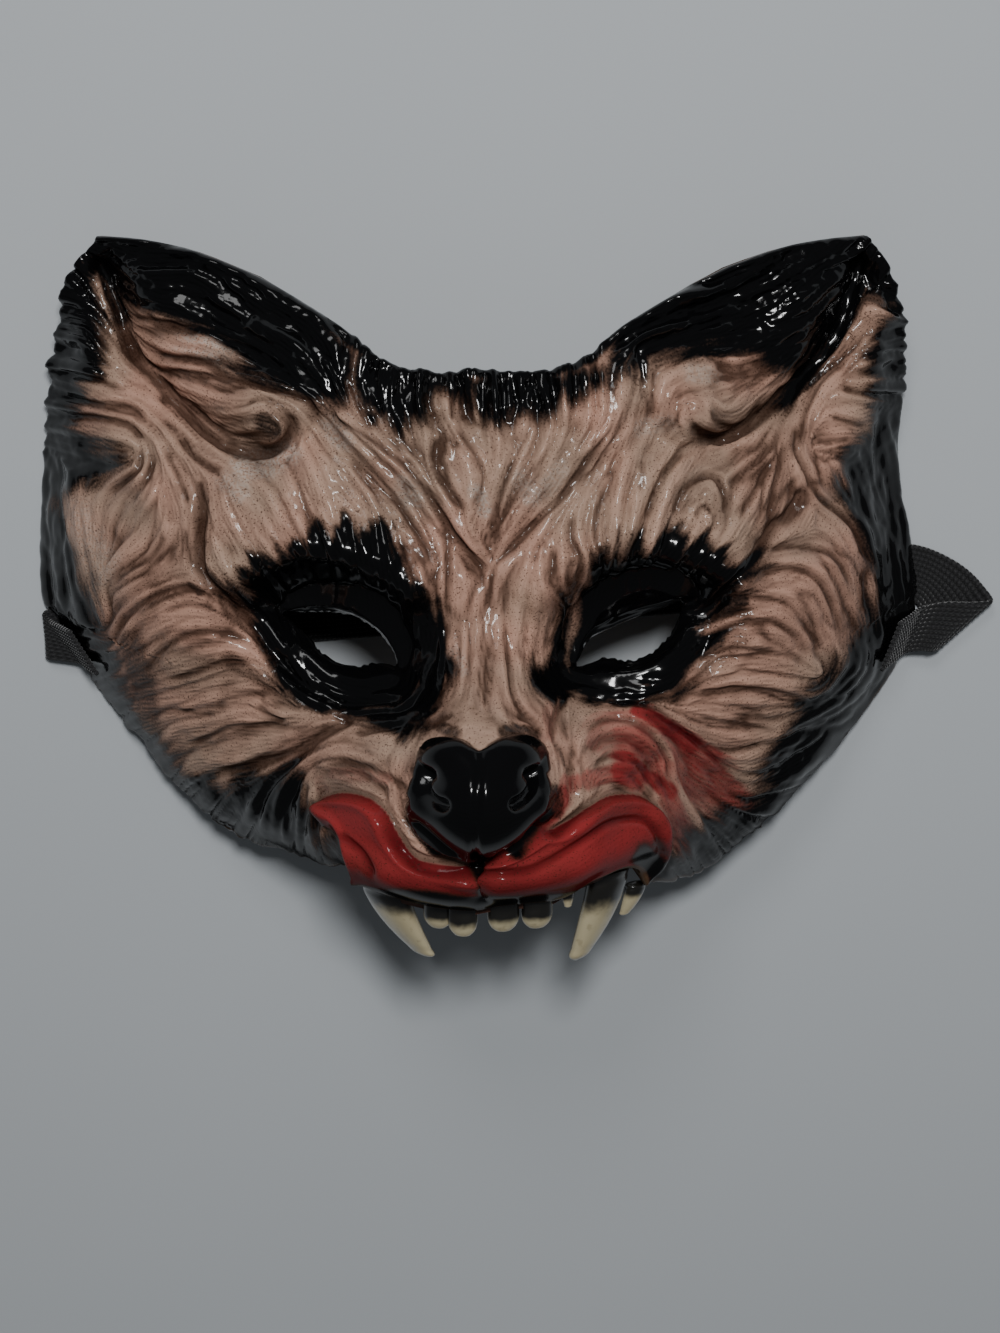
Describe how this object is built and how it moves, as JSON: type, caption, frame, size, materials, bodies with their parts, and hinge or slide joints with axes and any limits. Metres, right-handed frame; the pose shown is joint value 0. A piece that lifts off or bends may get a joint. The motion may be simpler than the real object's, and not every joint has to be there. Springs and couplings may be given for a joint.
{
  "type": "werewolf half mask",
  "caption": "Moulded latex half mask of a snarling wolf face with upright ears, open eyes, hanging fangs and an elastic head strap, lying face up.",
  "frame": {"origin": "middle of the bottom of the bounding box, on the surface that the mask's side rims rest on", "axes": "+X to the viewer's right across the face, +Y from the mouth towards the ears, +Z out of the face"},
  "size_m": [0.2304, 0.162, 0.0933],
  "materials": {
    "painted_latex": "satin flesh latex with sprayed glossy black and red paint",
    "gum_latex": "dull brown latex",
    "tooth_enamel": "glossy ivory with black roots",
    "black_elastic": "woven ribbed elastic"
  },
  "bodies": {
    "root": {"mask_shell": "painted_latex", "gum_strip": "gum_latex", "fang_left": "tooth_enamel", "incisor_1": "tooth_enamel", "incisor_2": "tooth_enamel", "incisor_3": "tooth_enamel", "incisor_4": "tooth_enamel", "side_tooth": "tooth_enamel", "fang_right": "tooth_enamel", "premolar_right": "tooth_enamel", "strap": "black_elastic"}
  },
  "joints": []
}
